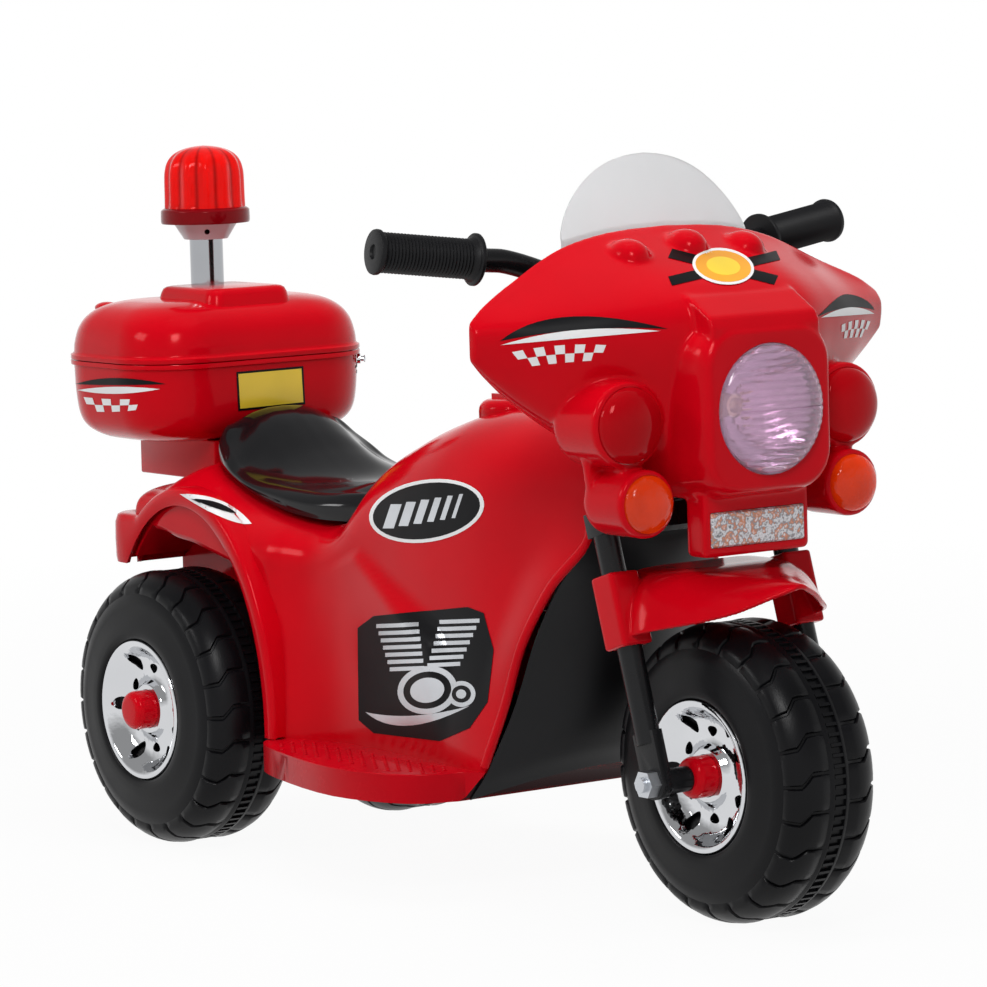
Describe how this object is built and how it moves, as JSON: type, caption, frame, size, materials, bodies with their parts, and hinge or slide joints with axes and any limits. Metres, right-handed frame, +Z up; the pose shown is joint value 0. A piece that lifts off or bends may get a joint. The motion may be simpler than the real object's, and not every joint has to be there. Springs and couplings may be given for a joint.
{
  "type": "ride-on toy motorcycle trike",
  "caption": "Battery ride-on toy motorcycle trike with steered front wheel, fairing with lamps and windshield, moulded seat and body, lidded trunk and beacon on a pole.",
  "frame": {"origin": "on the floor under the middle of the bounding box", "axes": "+X forward, +Y to the rider's left, +Z up; the wheels stand on Z = 0"},
  "size_m": [0.8092, 0.3926, 0.509],
  "materials": {
    "red_plastic": "glossy moulded red",
    "black_plastic": "satin moulded black",
    "tyre_plastic": "satin blown black plastic",
    "seat_plastic": "glossy moulded black",
    "chrome_plastic": "bright plated plastic",
    "steel": "zinc plated",
    "red_lens": "clear red plastic",
    "amber_lens": "clear amber plastic",
    "clear_lens": "clear ribbed plastic",
    "frosted": "frosted plastic",
    "bulb": "warm bulb",
    "plate": "grey glitter film",
    "gear_plastic": "natural nylon",
    "case_plastic": "dark moulded",
    "battery_case": "dark moulded",
    "board": "green laminate",
    "yellow_plastic": "moulded yellow",
    "red_switch": "moulded red"
  },
  "bodies": {
    "chassis": {"body_shell": "red_plastic", "base_pan": "red_plastic", "front_apron": "black_plastic", "steering_head": "black_plastic", "seat": "seat_plastic", "fuel_cap": "red_plastic", "trunk_bracket": "red_plastic", "trunk_tub": "red_plastic", "lid_catch": "chrome_plastic", "hinge_pin": "steel", "rear_axle": "steel", "axle_nuts": "steel", "battery": "battery_case", "motor": "steel", "gearbox_case": "case_plastic", "gearbox_cover": "case_plastic", "control_board": "board", "speaker": "black_plastic", "switch_panel": "black_plastic"},
    "trunk_lid": {"trunk_lid": "red_plastic", "beacon_pole": "chrome_plastic", "beacon_cup": "chrome_plastic", "beacon_lens": "red_lens", "beacon_bulb": "bulb"},
    "steering": {"steering_stem": "black_plastic", "fork": "black_plastic", "handlebar": "black_plastic", "grip_left": "black_plastic", "grip_right": "black_plastic", "fairing": "red_plastic", "dash_panel": "black_plastic", "fairing_bracket": "black_plastic", "windshield": "frosted", "headlight_reflector": "chrome_plastic", "headlight_lens": "clear_lens", "headlight_bulb": "bulb", "stop_lenses": "red_lens", "signal_lenses": "amber_lens", "number_plate": "plate", "front_fender": "red_plastic", "front_axle": "steel", "fork_nuts": "steel", "front_spacers": "black_plastic"},
    "front_wheel": {"front_wheel": "tyre_plastic", "front_covers": "chrome_plastic", "front_caps": "red_plastic"},
    "rear_wheel_left": {"rear_wheel_left": "tyre_plastic", "rear_cover_left": "chrome_plastic", "rear_cap_left": "red_plastic", "drive_gear": "gear_plastic"},
    "rear_wheel_right": {"rear_wheel_right": "tyre_plastic", "rear_cover_right": "chrome_plastic", "rear_cap_right": "red_plastic"},
    "idler_gear": {"idler_gear": "gear_plastic"},
    "motor_pinion": {"motor_pinion": "steel"},
    "foot_pedal": {"foot_pedal": "black_plastic"},
    "power_rocker": {"power_rocker": "red_switch"},
    "direction_rocker": {"direction_rocker": "black_plastic"},
    "horn_button": {"horn_button": "yellow_plastic"},
    "music_button": {"music_button": "yellow_plastic"}
  },
  "joints": [
    {"name": "trunk_lid_hinge", "type": "hinge", "parent": "chassis", "child": "trunk_lid", "pos_m": [-0.40009, 0, 0.347], "axis": [0, -1, 0], "range_deg": [0, 70]},
    {"name": "steering_turn", "type": "hinge", "parent": "chassis", "child": "steering", "pos_m": [0.24191, 0, 0.305], "axis": [-0.2924, 0, 0.9563], "range_deg": [-24, 24]},
    {"name": "front_wheel_spin", "type": "hinge", "parent": "steering", "child": "front_wheel", "pos_m": [0.30459, 0, 0.1], "axis": [0, 1, 0], "continuous": true},
    {"name": "rear_wheel_left_spin", "type": "hinge", "parent": "chassis", "child": "rear_wheel_left", "pos_m": [-0.23009, 0.096, 0.1], "axis": [0, 1, 0], "continuous": true},
    {"name": "rear_wheel_right_spin", "type": "hinge", "parent": "chassis", "child": "rear_wheel_right", "pos_m": [-0.23009, -0.096, 0.1], "axis": [0, 1, 0], "continuous": true},
    {"name": "idler_spin", "type": "hinge", "parent": "chassis", "child": "idler_gear", "pos_m": [-0.19978, 0.03, 0.1175], "axis": [0, 1, 0], "continuous": true},
    {"name": "pinion_spin", "type": "hinge", "parent": "chassis", "child": "motor_pinion", "pos_m": [-0.17873, 0.02, 0.12516], "axis": [0, 1, 0], "continuous": true},
    {"name": "foot_pedal_press", "type": "hinge", "parent": "chassis", "child": "foot_pedal", "pos_m": [0.03191, 0.112, 0.094], "axis": [0, 1, 0], "range_deg": [0, 8], "stiffness_Nm_per_rad": 2, "springref_deg": -5.73},
    {"name": "power_rocker_tilt", "type": "hinge", "parent": "chassis", "child": "power_rocker", "pos_m": [0.00291, 0.072, 0.18], "axis": [1, 0, 0], "range_deg": [-8, 8]},
    {"name": "direction_rocker_tilt", "type": "hinge", "parent": "chassis", "child": "direction_rocker", "pos_m": [0.02291, 0.072, 0.18], "axis": [1, 0, 0], "range_deg": [-8, 8]},
    {"name": "horn_button_press", "type": "slide", "parent": "steering", "child": "horn_button", "axis": [1, 0, 0], "range_m": [0, 0.003], "stiffness_N_per_m": 300, "springref_m": -0.002},
    {"name": "music_button_press", "type": "slide", "parent": "steering", "child": "music_button", "axis": [1, 0, 0], "range_m": [0, 0.003], "stiffness_N_per_m": 300, "springref_m": -0.002}
  ],
  "couplings": [
    {"joint": "idler_spin", "follows": "rear_wheel_left_spin", "ratio": -3},
    {"joint": "pinion_spin", "follows": "rear_wheel_left_spin", "ratio": 9}
  ]
}
